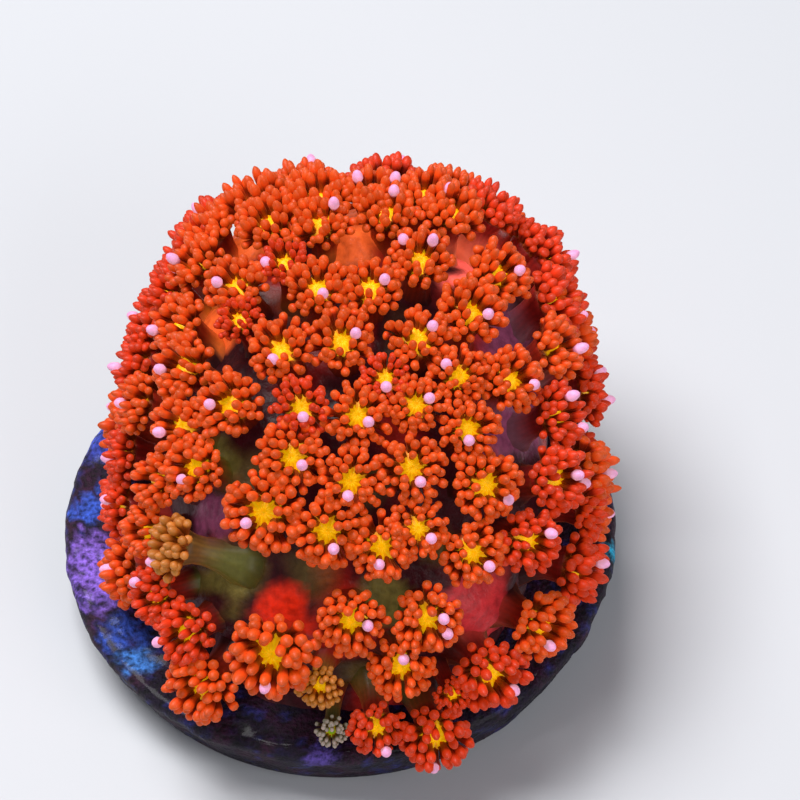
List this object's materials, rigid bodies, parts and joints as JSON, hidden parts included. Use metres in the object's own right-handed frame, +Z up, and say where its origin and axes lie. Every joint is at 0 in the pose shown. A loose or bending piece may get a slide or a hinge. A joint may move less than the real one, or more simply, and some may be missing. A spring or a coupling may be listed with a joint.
{
  "type": "bernardpora coral",
  "caption": "Dome-shaped colony of soft flower-like coral polyps grown on a round crusted frag disc with a flat underside.",
  "frame": {"origin": "middle of the disc's flat underside", "axes": "+Z up; -Y is the front, where the lowest polyps hang over the disc's rim; +X is to the right from the front"},
  "size_m": [0.0253, 0.0267, 0.0193],
  "materials": {
    "crusted_disc": "rough unglazed ceramic, covered in dark purple crust with lavender, pale blue and pink patches",
    "coral_flesh": "soft wet coral flesh, orange tentacles round yellow mouths on salmon, maroon and olive columns"
  },
  "bodies": {
    "root": {"frag_disc": "crusted_disc", "coral_colony": "coral_flesh"}
  },
  "joints": []
}
